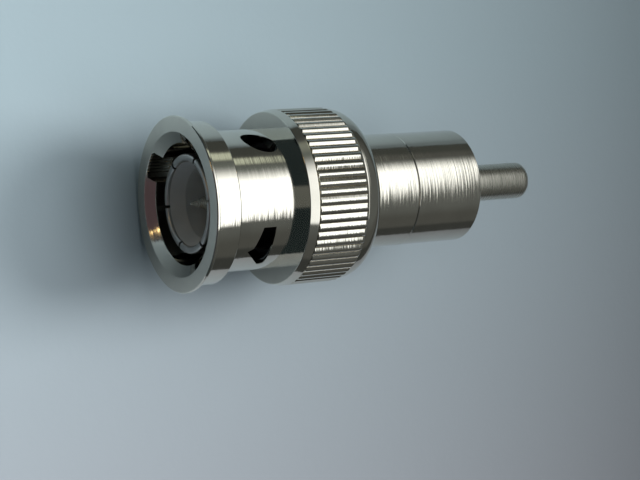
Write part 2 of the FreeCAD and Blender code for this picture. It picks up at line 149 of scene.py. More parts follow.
def filleted(corners, radius, steps=3):
    """The half section with each outer corner rounded by up to the radius; inner ones stay."""
    points = []
    count = len(corners)
    turning = sum(
        Vector(corners[i - 1]).to_3d().cross(Vector(corners[i]).to_3d()).z for i in range(count)
    )
    for i, here in enumerate(corners):
        here = Vector(here)
        before = Vector(corners[i - 1])
        after = Vector(corners[(i + 1) % count])
        back, ahead = before - here, after - here
        if here.x < 1e-9 or back.length < 1e-9 or ahead.length < 1e-9:
            points.append(here)
            continue
        turn = back.angle(ahead)
        inner = ahead.to_3d().cross(back.to_3d()).z * turning < 0
        if inner or turn > math.radians(165):
            points.append(here)
            continue
        reach = min(radius / math.tan(turn / 2), back.length * 0.4, ahead.length * 0.4)
        start = here + back.normalized() * reach
        end = here + ahead.normalized() * reach
        # A point just outside the rounding on each side keeps the shading of long walls flat
        points.append(here + back.normalized() * reach * 1.15)
        for step in range(steps + 1):
            share = step / steps
            points.append(
                start * (1 - share) ** 2 + here * 2 * share * (1 - share) + end * share**2
            )
        points.append(here + ahead.normalized() * reach * 1.15)
    return points


def arc_points(start, end, bulge, steps=8):
    """Points from start to end on a shallow arc that stands out by bulge, ends left out."""
    start, end = Vector(start), Vector(end)
    across = (end - start).orthogonal().normalized()
    if across.x < 0:
        across = -across
    return [
        tuple(start.lerp(end, k / steps) + across * bulge * 4 * (k / steps) * (1 - k / steps))
        for k in range(1, steps)
    ]


def turned(name, section, segments=192, sweep=math.tau, start=0.0):
    """A mesh object turned about Z from a closed half section of (radius, height)."""
    shape = bmesh.new()
    whole = abs(sweep - math.tau) < 1e-6
    steps = segments if whole else segments + 1
    rings = []
    for radius, height in section:
        if radius < 1e-9:
            rings.append([shape.verts.new((0, 0, height))] * steps)
            continue
        ring = []
        for k in range(steps):
            angle = start + sweep * k / segments
            ring.append(
                shape.verts.new((radius * math.cos(angle), radius * math.sin(angle), height))
            )
        rings.append(ring)
    count = len(rings)
    for i in range(count):
        low, high = rings[i], rings[(i + 1) % count]
        if low[0] is low[-1] and high[0] is high[-1]:
            continue
        for k in range(segments):
            after = (k + 1) % steps
            corners = []
            for vertex in (low[k], low[after], high[after], high[k]):
                if vertex not in corners:
                    corners.append(vertex)
            if len(corners) > 2:
                shape.faces.new(corners)
    if not whole:
        shape.faces.new([ring[0] for ring in rings])
        shape.faces.new([ring[-1] for ring in reversed(rings)])
    bmesh.ops.recalc_face_normals(shape, faces=shape.faces)
    return shaped(name, shape)


def round_corner(start, end, radius, steps=6):
    """Points between start and end on an arc whose centre lies left of the way."""
    start, end = Vector(start), Vector(end)
    way = end - start
    left = Vector((-way.y, way.x)).normalized()
    rise = math.sqrt(max(radius**2 - (way.length / 2) ** 2, 0.0))
    centre = (start + end) / 2 + left * rise
    first = (start - centre).to_3d()
    sweep = 2 * math.asin(min(1.0, way.length / 2 / radius))
    return [
        centre + (Matrix.Rotation(sweep * k / steps, 3, "Z") @ first).to_2d()
        for k in range(1, steps)
    ]


def prism(name, near, far):
    """A closed block between two outlines with as many points each."""
    shape = bmesh.new()
    near = [shape.verts.new(spot) for spot in near]
    far = [shape.verts.new(spot) for spot in far]
    shape.faces.new(near)
    shape.faces.new(list(reversed(far)))
    for k in range(len(near)):
        after = (k + 1) % len(near)
        shape.faces.new((near[k], far[k], far[after], near[after]))
    bmesh.ops.recalc_face_normals(shape, faces=shape.faces)
    return shaped(name, shape)


def block_cutter(name, outline, reach):
    """A block from the axis outwards along X, its outline given across and along the axis."""
    return prism(
        name,
        [(0.0, across, height) for across, height in outline],
        [(reach, across, height) for across, height in outline],
    )


def box_cutter(name, size, centre, turns=()):
    """A box of a size about a centre, then turned about the origin."""
    shape = bmesh.new()
    bmesh.ops.create_cube(shape, size=1.0)
    bmesh.ops.scale(shape, vec=size, verts=shape.verts)
    bmesh.ops.translate(shape, vec=centre, verts=shape.verts)
    for angle, axis in turns:
        bmesh.ops.rotate(
            shape, cent=(0, 0, 0), matrix=Matrix.Rotation(angle, 3, axis), verts=shape.verts
        )
    return shaped(name, shape)


def shaped(name, shape):
    mesh = bpy.data.meshes.new(name)
    shape.to_mesh(mesh)
    shape.free()
    piece = bpy.data.objects.new(name, mesh)
    bpy.context.scene.collection.objects.link(piece)
    return piece


def boolean(piece, cutter, operation="DIFFERENCE"):
    step = piece.modifiers.new(operation, "BOOLEAN")
    step.operation = operation
    step.solver = "EXACT"
    step.object = cutter
    settle(piece)
    bpy.data.objects.remove(cutter)


def settle(piece):
    """Replace a piece's mesh by what its modifiers make of it."""
    bpy.context.view_layer.update()
    seen = piece.evaluated_get(bpy.context.evaluated_depsgraph_get())
    mesh = bpy.data.meshes.new_from_object(seen)
    piece.modifiers.clear()
    piece.data = mesh
    mesh.name = piece.name


def join(piece, others):
    """Add the meshes of other pieces to this one, materials by slot."""
    shape = bmesh.new()
    shape.from_mesh(piece.data)
    for other in others:
        shape.from_mesh(other.data)
        bpy.data.objects.remove(other)
    shape.to_mesh(piece.data)
    shape.free()


def smooth(piece, angle=32.0):
    for face in piece.data.polygons:
        face.use_smooth = True
    piece.data.set_sharp_from_angle(angle=math.radians(angle))


def coat(piece, material):
    piece.data.materials.clear()
    piece.data.materials.append(material)


def finish_piece(piece, material, node, body):
    coat(piece, material)
    smooth(piece)
    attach(piece, body)
    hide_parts(node)


# The rule that repeats a piece round the axis


def repeat_rule():
    """A node tree: copies of the piece, evenly round Z, in one material."""
    if "Repeat Round Axis" in bpy.data.node_groups:
        return bpy.data.node_groups["Repeat Round Axis"]
    tree = bpy.data.node_groups.new("Repeat Round Axis", "GeometryNodeTree")
    sockets = tree.interface
    sockets.new_socket("Geometry", in_out="INPUT", socket_type="NodeSocketGeometry")
    count = sockets.new_socket("Count", in_out="INPUT", socket_type="NodeSocketInt")
    count.default_value = 6
    first = sockets.new_socket("First Angle", in_out="INPUT", socket_type="NodeSocketFloat")
    first.default_value = 0.0
    sockets.new_socket("Material", in_out="INPUT", socket_type="NodeSocketMaterial")
    sockets.new_socket("Geometry", in_out="OUTPUT", socket_type="NodeSocketGeometry")
    add = tree.nodes.new
    given = add("NodeGroupInput")
    result = add("NodeGroupOutput")
    points = add("GeometryNodePoints")
    index = add("GeometryNodeInputIndex")
    step = add("ShaderNodeMath")
    step.operation = "DIVIDE"
    step.inputs[0].default_value = math.tau
    angle = add("ShaderNodeMath")
    angle.operation = "MULTIPLY_ADD"
    turn = add("ShaderNodeCombineXYZ")
    spread = add("GeometryNodeInstanceOnPoints")
    real = add("GeometryNodeRealizeInstances")
    paint = add("GeometryNodeSetMaterial")
    link = tree.links.new
    link(given.outputs["Count"], points.inputs["Count"])
    link(given.outputs["Count"], step.inputs[1])
    link(index.outputs["Index"], angle.inputs[0])
    link(step.outputs[0], angle.inputs[1])
    link(given.outputs["First Angle"], angle.inputs[2])
    link(angle.outputs[0], turn.inputs["Z"])
    link(points.outputs[0], spread.inputs["Points"])
    link(given.outputs["Geometry"], spread.inputs["Instance"])
    link(turn.outputs[0], spread.inputs["Rotation"])
    link(spread.outputs[0], real.inputs[0])
    link(real.outputs[0], paint.inputs["Geometry"])
    link(given.outputs["Material"], paint.inputs["Material"])
    link(paint.outputs[0], result.inputs[0])
    return tree


def repeat_round(piece, count, first_angle, material):
    tree = repeat_rule()
    step = piece.modifiers.new("Repeat", "NODES")
    step.node_group = tree
    wanted = {"Count": count, "First Angle": first_angle, "Material": material}
    for item in tree.interface.items_tree:
        if item.item_type == "SOCKET" and item.in_out == "INPUT" and item.name in wanted:
            step[item.identifier] = wanted[item.name]
    settle(piece)


# Finishes


class Finish:
    """A material under construction, with short calls for its nodes."""

    def __init__(self, name):
        self.material = bpy.data.materials.new(name)
        self.material.use_nodes = True
        self.tree = self.material.node_tree
        self.shader = self.tree.nodes["Principled BSDF"]
        self.coords = self.tree.nodes.new("ShaderNodeTexCoord")

    def node(self, kind, **settings):
        made = self.tree.nodes.new(kind)
        for key, value in settings.items():
            setattr(made, key, value)
        return made

    def link(self, source, target):
        self.tree.links.new(source, target)

    def set(self, **values):
        for key, value in values.items():
            self.shader.inputs[key.replace("_", " ")].default_value = value

    def noise(self, scale, detail=2.0, stretch=(1, 1, 1)):
        place = self.node("ShaderNodeMapping")
        place.inputs["Scale"].default_value = stretch
        cloud = self.node("ShaderNodeTexNoise")
        cloud.inputs["Scale"].default_value = scale
        cloud.inputs["Detail"].default_value = detail
        self.link(self.coords.outputs["Object"], place.inputs["Vector"])
        self.link(place.outputs[0], cloud.inputs["Vector"])
        return cloud.outputs["Fac"]

    def spread(self, source, low, high, from_low=0.3, from_high=0.7):
        level = self.node("ShaderNodeMapRange")
        level.inputs["From Min"].default_value = from_low
        level.inputs["From Max"].default_value = from_high
        level.inputs["To Min"].default_value = low
        level.inputs["To Max"].default_value = high
        self.link(source, level.inputs["Value"])
        return level.outputs["Result"]

    def tint(self, source, dark, light):
        blend = self.node("ShaderNodeMix", data_type="RGBA")
        blend.inputs[6].default_value = (*dark, 1)
        blend.inputs[7].default_value = (*light, 1)
        self.link(source, blend.inputs[0])
        self.link(blend.outputs[2], self.shader.inputs["Base Color"])

    def relief(self, heights, distance):
        """Bumps added one after the other; heights holds (source, share) pairs."""
        before = None
        for source, share in heights:
            bump = self.node("ShaderNodeBump")
            bump.inputs["Strength"].default_value = 1.0
            bump.inputs["Distance"].default_value = distance * share
            self.link(source, bump.inputs["Height"])
            if before:
                self.link(before, bump.inputs["Normal"])
            before = bump.outputs["Normal"]
        self.link(before, self.shader.inputs["Normal"])


def scaled(colour, factor):
    return tuple(min(1.0, part * factor) for part in colour)


def turned_nickel(name, colour, roughness, marks):
    """Bright plating over metal that was turned: fine rings round the axis."""
    finish = Finish(name)
    rings = finish.noise(1.0, 3.0, (60, 60, 7000))
    drift = finish.noise(1.0, 2.0, (250, 250, 900))
    cloud = finish.noise(420.0, 4.0)
    finish.set(Metallic=1.0)
    finish.tint(finish.spread(cloud, 0, 1), scaled(colour, 0.90), colour)
    finish.link(
        finish.spread(rings, roughness * 0.8, roughness * 1.35), finish.shader.inputs["Roughness"]
    )
    finish.relief([(rings, marks), (drift, marks * 2.0)], 0.000004)
    return finish


def nut_nickel(name, colour, roughness, marks, waist):
    """The nut's plating, with painted shade: a dark colour on the inner faces of the waist, round
    the openings cut through it.
    """
    finish = turned_nickel(name, colour, roughness, marks)
    blend = finish.shader.inputs["Base Color"].links[0].from_socket
    split = finish.node("ShaderNodeSeparateXYZ")
    finish.link(finish.coords.outputs["Object"], split.inputs[0])
    flat = finish.node("ShaderNodeCombineXYZ")
    finish.link(split.outputs["X"], flat.inputs["X"])
    finish.link(split.outputs["Y"], flat.inputs["Y"])
    out = finish.node("ShaderNodeVectorMath", operation="LENGTH")
    finish.link(flat.outputs[0], out.inputs[0])
    skin = finish.spread(out.outputs["Value"], 0, 1, waist - 0.08 * MM, waist - 0.03 * MM)
    front = finish.spread(split.outputs["Z"], 1, 0, 3.0 * MM, 3.2 * MM)
    back = finish.spread(split.outputs["Z"], 0, 1, 8.2 * MM, 8.4 * MM)
    either = finish.node("ShaderNodeMath", operation="MAXIMUM")
    finish.link(front, either.inputs[0])
    finish.link(back, either.inputs[1])
    outside_painted_shade = finish.node("ShaderNodeMath", operation="MAXIMUM")
    finish.link(skin, outside_painted_shade.inputs[0])
    finish.link(either.outputs[0], outside_painted_shade.inputs[1])
    # Painted shade: inside the waist, from 3.2 to 8.2 mm up, the base colour falls to an eighth of
    # the plating's
    painted_shade = finish.node("ShaderNodeMix", data_type="RGBA")
    painted_shade.inputs[6].default_value = (*scaled(colour, 0.12), 1)
    finish.link(outside_painted_shade.outputs[0], painted_shade.inputs[0])
    finish.link(blend, painted_shade.inputs[7])
    finish.link(painted_shade.outputs[2], finish.shader.inputs["Base Color"])
    return finish.material


def satin_nickel(name, colour, roughness):
    """Dull plating with a fine even grain."""
    finish = Finish(name)
    grain = finish.noise(9000.0, 3.0)
    cloud = finish.noise(700.0, 3.0)
    finish.set(Metallic=1.0)
    finish.tint(finish.spread(cloud, 0, 1), scaled(colour, 0.82), colour)
    finish.link(
        finish.spread(cloud, roughness * 0.85, roughness * 1.2), finish.shader.inputs["Roughness"]
    )
    finish.relief([(grain, 1.0)], 0.000006)
    return finish.material


def moulded_plastic(name, colour):
    finish = Finish(name)
    grain = finish.noise(5200.0, 2.0)
    cloud = finish.noise(500.0, 2.0)
    finish.set(Roughness=0.5, Metallic=0.0)
    finish.tint(finish.spread(cloud, 0, 1), scaled(colour, 0.9), colour)
    finish.relief([(grain, 1.0)], 0.000008)
    return finish.material


def soft_rubber(name, colour):
    finish = Finish(name)
    grain = finish.noise(6500.0, 3.0)
    finish.set(Roughness=0.62, Metallic=0.0)
    finish.tint(finish.spread(grain, 0, 1), scaled(colour, 0.7), scaled(colour, 1.5))
    finish.relief([(grain, 1.0)], 0.00001)
    return finish.material


def spring_steel(name, colour):
    finish = Finish(name)
    rings = finish.noise(1.0, 2.0, (4000, 4000, 300))
    finish.set(Metallic=1.0)
    finish.tint(finish.spread(rings, 0, 1), scaled(colour, 0.8), colour)
    finish.link(finish.spread(rings, 0.25, 0.4), finish.shader.inputs["Roughness"])
    finish.relief([(rings, 1.0)], 0.000004)
    return finish.material


def table_top(name, colour):
    """A pale surface with a painted fall-off of light, darker to the phono end, and less blue
    below, seen from its front only.
    """
    finish = Finish(name)
    split = finish.node("ShaderNodeSeparateXYZ")
    finish.link(finish.coords.outputs["Object"], split.inputs[0])
    slope = finish.node("ShaderNodeMath", operation="MULTIPLY_ADD")
    slope.inputs[1].default_value = 0.06
    finish.link(split.outputs["X"], slope.inputs[0])
    finish.link(split.outputs["Z"], slope.inputs[2])
    finish.set(Roughness=0.7, Metallic=0.0)
    finish.shader.inputs["Specular IOR Level"].default_value = 0.2
    # Painted fall-off of light: the colour goes from 1.5 times the table's tone at the mouth end
    # to 0.41 times at the phono end
    share = finish.spread(slope.outputs[0], 0, 1, -0.015, 0.055)
    finish.tint(share, scaled(colour, 1.5), scaled(colour, 0.41))
    painted_falloff_colour = finish.shader.inputs["Base Color"].links[0].from_socket
    warm = finish.node("ShaderNodeMix", data_type="RGBA", blend_type="MULTIPLY")
    warm.inputs[7].default_value = (1.03, 0.86, 0.86, 1)
    finish.link(finish.spread(split.outputs["X"], 0, 1, -0.012, 0.036), warm.inputs[0])
    finish.link(painted_falloff_colour, warm.inputs[6])
    finish.link(warm.outputs[2], finish.shader.inputs["Base Color"])
    grain = finish.noise(900.0, 3.0)
    finish.relief([(grain, 1.0)], 0.00002)
    behind = finish.node("ShaderNodeNewGeometry")
    clear = finish.node("ShaderNodeBsdfTransparent")
    mix = finish.node("ShaderNodeMixShader")
    output = finish.tree.nodes["Material Output"]
    finish.link(behind.outputs["Backfacing"], mix.inputs[0])
    finish.link(finish.shader.outputs[0], mix.inputs[1])
    finish.link(clear.outputs[0], mix.inputs[2])
    finish.link(mix.outputs[0], output.inputs["Surface"])
    return finish.material


# The pieces, one operator each

ENTRY_WIDTH = 2.5 * MM
ENTRY_SKEW = math.radians(3.5)
LOCK_TURN = math.radians(93.5)
LOCK_TILT = math.radians(-39.0)
LOCK_HALF_LENGTH, LOCK_HALF_WIDTH = 1.55 * MM, 1.08 * MM
TRACK_RADIUS, TRACK_HEIGHT = 5.6 * MM, 5.6 * MM
TRACK_CLIMB = math.radians(6.0)
KNURL_PHASE = math.radians(-2.4)
KNURL_DEPTH = 0.14 * MM

class BuildPiece:
    bl_options = {"REGISTER", "UNDO"}

    @property
    def tones(self):
        return bpy.context.scene.adapter_tones


class ADAPTER_OT_coupling_nut(BuildPiece, bpy.types.Operator):
    """Build the knurled coupling nut with its lug grooves and openings"""

    bl_idname = "adapter.coupling_nut"
    bl_label = "Coupling Nut"

    def execute(self, context):
        size = context.scene.adapter_nut
        edge = size.grip_radius
        under = edge - 0.26 * MM
        grip, band_end, knurl_start = 8.30 * MM, 9.08 * MM, 9.20 * MM
        knurl_end, rear = knurl_start + size.tooth_length, 15.28 * MM
        shoulder, shoulder_start = 7.13 * MM, knurl_end + 0.46 * MM
        rim_edge, chamber = 6.45 * MM, 6.0 * MM
        outline = [
            (size.mouth_radius, 0.0),
            (size.rim_radius - 0.07 * MM, 0.0),
            (size.rim_radius, 0.07 * MM),
            (size.rim_radius, 0.25 * MM),
            (size.collar_radius, 0.42 * MM),
            (size.collar_radius, 2.34 * MM),
            (size.collar_radius - 0.08 * MM, 2.42 * MM),
            (size.waist_radius, 2.42 * MM),
            (size.waist_radius, grip),
            (7.09 * MM, grip),
            (edge, band_end),
            (edge - 0.18 * MM, band_end + 0.02 * MM),
            (edge - 0.18 * MM, knurl_start),
            (under, knurl_start),
            (under, knurl_end - 0.02 * MM),
            (7.15 * MM, knurl_end),
            (7.145 * MM, knurl_end + 0.2 * MM),
            (shoulder, shoulder_start),
        ]
        outline += arc_points((shoulder, shoulder_start), (rim_edge, rear), 0.155 * MM, 12)
        outline += [
            (rim_edge, rear),
            (5.15 * MM, rear),
            (5.05 * MM, rear - 0.1 * MM),
            (5.05 * MM, 14.53 * MM),
            (chamber, 14.53 * MM),
            (chamber, 8.95 * MM),
            (size.bore_radius, 8.95 * MM),
            (size.bore_radius, 0.60 * MM),
        ]
        nut = turned("coupling_nut_shell", filleted(outline, 0.05 * MM), 248)
        for half in (0.0, math.pi):
            self.cut_lug_way(nut, size, size.entry_turn + half)
        smooth(nut)
        teeth = self.tooth(size, knurl_start, under)
        nickel = nut_nickel(
            "bright_nickel_nut", self.tones.bright, 0.078, 1.0, size.waist_radius
        )
        smooth(teeth, 40.0)
        repeat_round(teeth, size.tooth_count, KNURL_PHASE, nickel)
        join(nut, [teeth])
        finish_piece(nut, nickel, "coupling_nut", NUT)
        return {"FINISHED"}

    def cut_lug_way(self, nut, size, turn):
        """The entry groove, the opening over it, the track and the oval opening at its end."""
        reach = size.waist_radius + MM
        back = size.opening_back
        front = back - 1.12 * MM
        low, high = (2.88 * MM, back - 0.58 * MM), (2.64 * MM, back)
        opening = [
            (-1.07 * MM, back),
            (-1.07 * MM, front),
            (0.87 * MM, front - 0.5 * MM),
            (1.18 * MM, front - 0.97 * MM),
            low,
            *round_corner(low, high, 0.4 * MM),
            high,
        ]
        oval = []
        for step in range(48):
            angle = math.tau * step / 48
            long, wide = LOCK_HALF_LENGTH * math.cos(angle), LOCK_HALF_WIDTH * math.sin(angle)
            oval.append((
                long * math.sin(LOCK_TILT) + wide * math.cos(LOCK_TILT),
                size.lock_height - long * math.cos(LOCK_TILT) + wide * math.sin(LOCK_TILT),
            ))
        groove = box_cutter(
            "entry", (reach, ENTRY_WIDTH, back + MM), (reach / 2, 0, back / 2 - MM / 2)
        )
        self.keep_within(groove, 5.62 * MM, -2 * MM, back)
        mouth = self.broached()
        track = box_cutter(
            "track",
            (TRACK_RADIUS, 8.8 * MM, 2.6 * MM),
            (TRACK_RADIUS, 0, 0),
            [(TRACK_CLIMB, "X")],
        )
        track.data.transform(Matrix.Translation((0, 0, TRACK_HEIGHT)))
        self.keep_within(track, TRACK_RADIUS, 2 * MM, 8.25 * MM)
        cutters = [
            (groove, ENTRY_SKEW),
            (mouth, ENTRY_SKEW),
            (block_cutter("opening", opening, reach), 0.0),
            (track, LOCK_TURN / 2),
            (block_cutter("oval", oval, reach), LOCK_TURN),
        ]
        for cutter, past in cutters:
            cutter.data.transform(Matrix.Rotation(turn + past, 4, "Z"))
            boolean(nut, cutter)

    def broached(self):
        """The entry groove inside the collar: its floor keeps the lines of the broach."""
        half, lines = ENTRY_WIDTH / 2, 8
        inner, shoulder, floor, line_depth = 3.0 * MM, 5.5 * MM, 5.8 * MM, 0.07 * MM
        outline = [(inner, -half), (shoulder, -half)]
        for step in range(1, 2 * lines):
            side = half * (step / lines - 1)
            reach = floor - line_depth * (step % 2)
            outline.append((math.sqrt(reach**2 - side**2), side))
        outline += [(shoulder, half), (inner, half)]
        return prism(
            "broached_entry",
            [(out, side, -MM) for out, side in outline],
            [(out, side, 2.1 * MM) for out, side in outline],
        )

    def keep_within(self, cutter, radius, low, high):
        limit = turned("limit", [(0, low), (radius, low), (radius, high), (0, high)], 128)
        boolean(cutter, limit, "INTERSECT")

    def tooth(self, size, start, under):
        """One knurl tooth: its (share of pitch, slope) section leans over; its ends are round."""
        pitch = math.tau / size.tooth_count
        width = pitch * size.grip_radius
        slopes = [
            (0.04, 62.0), (0.12, 27.0), (0.13, 26.0), (0.07, 24.0), (0.07, 18.0), (0.07, 10.0),
            (0.07, 3.0), (0.07, -4.0), (0.05, -14.0), (0.06, -26.0), (0.21, -31.0), (0.04, -64.0),
        ]
        across = [(0.0, 0.0)]
        for share, slope in slopes:
            angle, height = across[-1]
            climb = math.tan(math.radians(slope)) * share * width
            across.append((angle + share * pitch, height + climb))
        top = max(height for angle, height in across)
        tilt = across[-1][1]
        across = [
            (angle - pitch / 2, max(0.0, top - height + tilt * angle / pitch))
            for angle, height in across
        ]
        ends = []
        for share in (0.0, 0.08, 0.25, 0.5, 1.0):
            fall = 1 - math.sqrt(1 - (1 - share) ** 2)
            ends.append((share * size.tooth_round, fall * KNURL_DEPTH))
        # Two more rows near each end keep the long faces' normals straight
        ends += [(1.15 * size.tooth_round, 0.0), (1.6 * size.tooth_round, 0.0)]
        last = start + size.tooth_length
        along = [(start + away * 0.4, fall * 0.6) for away, fall in ends]
        along += [(last - away, fall) for away, fall in reversed(ends)]
        shape = bmesh.new()
        rows = []
        for height, fall in along:
            row = []
            for angle, drop in across:
                radius = size.grip_radius - drop - fall * max(0.0, 1 - drop / KNURL_DEPTH)
                spot = (radius * math.cos(angle), radius * math.sin(angle), height)
                row.append(shape.verts.new(spot))
            rows.append(row)
        for lower, upper in zip(rows, rows[1:]):
            for k in range(len(lower) - 1):
                shape.faces.new((lower[k], lower[k + 1], upper[k + 1], upper[k]))
        rim = rows[0] + [row[-1] for row in rows[1:-1]] + rows[-1][::-1]
        rim += [row[0] for row in rows[-2:0:-1]]
        foot = []
        for vertex in rim:
            shrink = under / vertex.co.xy.length
            foot.append(shape.verts.new((vertex.co.x * shrink, vertex.co.y * shrink, vertex.co.z)))
        for k in range(len(rim)):
            after = (k + 1) % len(rim)
            shape.faces.new((rim[k], foot[k], foot[after], rim[after]))
        shape.faces.new(foot)
        bmesh.ops.recalc_face_normals(shape, faces=shape.faces)
        return shaped("knurl_tooth", shape)


class ADAPTER_OT_barrel(BuildPiece, bpy.types.Operator):
    """Build the barrel: the body inside the nut and the phono shell behind it"""

    bl_idname = "adapter.barrel"
    bl_label = "Body and Phono Shell"

    def execute(self, context):
        size = context.scene.adapter_barrel
        seam, radius = size.seam, size.barrel_radius
        body = turned(
            "adapter_body_shell",
            filleted(
                [
                    (4.07 * MM, 9.0 * MM),
                    (5.92 * MM, 9.0 * MM),
                    (5.92 * MM, 12.2 * MM),
                    (radius, 12.2 * MM),
                    (radius, seam - 0.06 * MM),
                    (radius - 0.08 * MM, seam),
                    (4.02 * MM, seam),
                    (4.02 * MM, 18.28 * MM),
                    (3.22 * MM, 18.28 * MM),
                    (3.22 * MM, 16.38 * MM),
                    (2.8 * MM, 16.38 * MM),
                    (2.8 * MM, 13.62 * MM),
                    (4.07 * MM, 13.62 * MM),
                ],
                0.04 * MM,
            ),
            192,
        )
        nickel = turned_nickel("bright_nickel_barrel", self.tones.bright, 0.095, 1.3).material
        finish_piece(body, nickel, "adapter_body", BODY)
        end, bore = size.shell_end, size.shell_bore
        shell = turned(
            "phono_shell_sleeve",
            filleted(
                [
                    (3.22 * MM, 18.3 * MM),
                    (4.0 * MM, 18.3 * MM),
                    (4.0 * MM, seam + 0.03 * MM),
                    (radius - 0.06 * MM, seam + 0.03 * MM),
                    (radius, seam + 0.08 * MM),
                    (radius, end - 0.12 * MM),
                    (radius - 0.12 * MM, end),
                    (bore + 0.2 * MM, end),
                    (bore, end - 0.2 * MM),
                    (bore, 20.9 * MM),
                    (3.22 * MM, 20.9 * MM),
                ],
                0.04 * MM,
            ),
            192,
        )
        finish_piece(shell, nickel, "phono_shell", BODY)
        return {"FINISHED"}


class ADAPTER_OT_finger_sleeve(BuildPiece, bpy.types.Operator):
    """Build the slotted finger sleeve in the mouth"""

    bl_idname = "adapter.finger_sleeve"
    bl_label = "Finger Sleeve"

    def execute(self, context):
        size = context.scene.adapter_contact
        satin = satin_nickel("satin_nickel_sleeve", self.tones.satin, 0.34)
        lip, neck, bore = size.lip_radius, size.neck_radius, size.bore_radius
        front = 0.92 * MM
        slot_end = front + size.slot_length
        section = filleted(
            [
                (bore, front),
                (lip, front),
                (lip, front + 1.3 * MM),
                (neck, front + 2.2 * MM),
                (neck, slot_end),
                (bore, slot_end),
            ],
            0.28 * MM,
            6,
        )
        gap = size.slot_width / lip
        share = math.tau / size.fingers
        sleeve = turned("finger", section, 24, share - gap, size.slot_turn + gap / 2)
        smooth(sleeve)
        repeat_round(sleeve, size.fingers, 0.0, satin)
        root = turned(
            "sleeve_root",
            [
                (bore, slot_end),
                (neck, slot_end),
                (neck, 6.8 * MM),
                (lip, 7.8 * MM),
                (lip, 13.6 * MM),
                (bore, 13.6 * MM),
            ],
            144,
        )
        join(sleeve, [root])
        sleeve.name = "outer_contact_sleeve"
        finish_piece(sleeve, satin, "outer_contact", BODY)
        return {"FINISHED"}


class ADAPTER_OT_pins(BuildPiece, bpy.types.Operator):
    """Build the centre pin in the mouth and the phono pin at the other end"""

    bl_idname = "adapter.pins"
    bl_label = "Centre Pin and Phono Pin"

    def execute(self, context):
        contact = context.scene.adapter_contact
        radius, tip = contact.tip_radius, contact.tip_height
        plating = turned_nickel("satin_nickel_pins", self.tones.pin, 0.24, 0.8).material
        centre = turned(
            "centre_pin_rod",
            filleted(
                [
                    (0, tip),
                    (0.1 * MM, tip),
                    (radius, tip + 1.7 * MM),
                    (radius, 9.3 * MM),
                    (1.6 * MM, 9.3 * MM),
                    (1.6 * MM, 16.2 * MM),
                    (1.12 * MM, 16.2 * MM),
                    (1.12 * MM, 12.2 * MM),
                    (0, 12.2 * MM),
                ],
                0.05 * MM,
            ),
            64,
        )
        finish_piece(centre, plating, "centre_pin", BODY)
        size = context.scene.adapter_barrel
        radius, end = size.pin_radius, size.pin_end
        corner = [
            (
                radius - 0.65 * MM + 0.65 * MM * math.cos(math.radians(15 * k)),
                end - 0.65 * MM + 0.65 * MM * math.sin(math.radians(15 * k)),
            )
            for k in range(7)
        ]
        rod = turned(
            "phono_pin_rod",
            [
                (0, 12.4 * MM),
                (1.1 * MM, 12.4 * MM),
                (1.1 * MM, 16.22 * MM),
                (1.75 * MM, 16.22 * MM),
                (1.75 * MM, 20.9 * MM),
                (radius, 21.1 * MM),
            ]
            + corner
            + [(0, end)],
            96,
        )
        finish_piece(rod, plating, "phono_pin", BODY)
        return {"FINISHED"}


class ADAPTER_OT_insulators(BuildPiece, bpy.types.Operator):
    """Build the two moulded insulators and the seal ring"""

    bl_idname = "adapter.insulators"
    bl_label = "Insulators and Seal"

    def execute(self, context):
        plastic = moulded_plastic("moulded_insulator", self.tones.plastic)
        front = turned(
            "front_insulator_disc",
            filleted(
                [
                    (0.695 * MM, 6.2 * MM),
                    (2.86 * MM, 6.2 * MM),
                    (2.86 * MM, 2.3 * MM),
                    (3.36 * MM, 1.15 * MM),
                    (3.4 * MM, 1.15 * MM),
                    (3.4 * MM, 13.6 * MM),
                    (1.62 * MM, 13.6 * MM),
                    (1.62 * MM, 9.28 * MM),
                    (0.695 * MM, 9.28 * MM),
                ],
                0.06 * MM,
            ),
            96,
        )
        finish_piece(front, plastic, "front_insulator", BODY)
        rear = turned(
            "rear_insulator_disc",
            filleted(
                [
                    (1.77 * MM, 16.4 * MM),
                    (3.2 * MM, 16.4 * MM),
                    (3.2 * MM, 20.9 * MM),
                    (1.77 * MM, 20.9 * MM),
                ],
                0.06 * MM,
            ),
            96,
        )
        finish_piece(rear, plastic, "rear_insulator", BODY)
        seal = turned(
            "seal_ring_band",
            filleted(
                [
                    (4.15 * MM, 7.88 * MM),
                    (4.65 * MM, 7.88 * MM),
                    (4.65 * MM, 8.98 * MM),
                    (4.15 * MM, 8.98 * MM),
                ],
                0.16 * MM,
                5,
            ),
            144,
        )
        rubber = soft_rubber("soft_seal_rubber", self.tones.rubber)
        finish_piece(seal, rubber, "seal_ring", BODY)
        return {"FINISHED"}


class ADAPTER_OT_washers(BuildPiece, bpy.types.Operator):
    """Finish the two washers inside the nut; the waved one is shown by a copy with a mesh of its
    own
    """

    bl_idname = "adapter.washers"
    bl_label = "Washers"

    def execute(self, context):
        steel = spring_steel("spring_steel_washer", self.tones.steel)
        coat(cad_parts["thrust_washer"], steel)
        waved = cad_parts["wave_washer"]
        coat(waved, steel)
        spring = bpy.data.objects.new("wave_washer_spring", waved.data.copy())
        context.scene.collection.objects.link(spring)
        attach(spring, BODY)
        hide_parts("wave_washer")
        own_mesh(spring)
        return {"FINISHED"}


# The stage


CAMERA_PLACE = (0.0038, -0.12924, -0.06391)
CAMERA_AXES = ((0.0871, -0.5097, 0.8559), (-0.9962, -0.0446, 0.0748), (0.0, -0.8592, -0.5116))
TABLE_HEIGHT = 7.29 * MM
TABLE_CORNERS = ((-0.4, -0.012), (-0.4, 0.4), (0.034, 0.4), (0.034, -0.016), (-0.02, -0.012))
LAMP_WAY, LAMP_DISTANCE = Vector((-0.07, -0.66, 0.72)), 0.26
DEGREES = 57.2958
ROOM_COLOUR = (0.34, 0.43, 0.48)


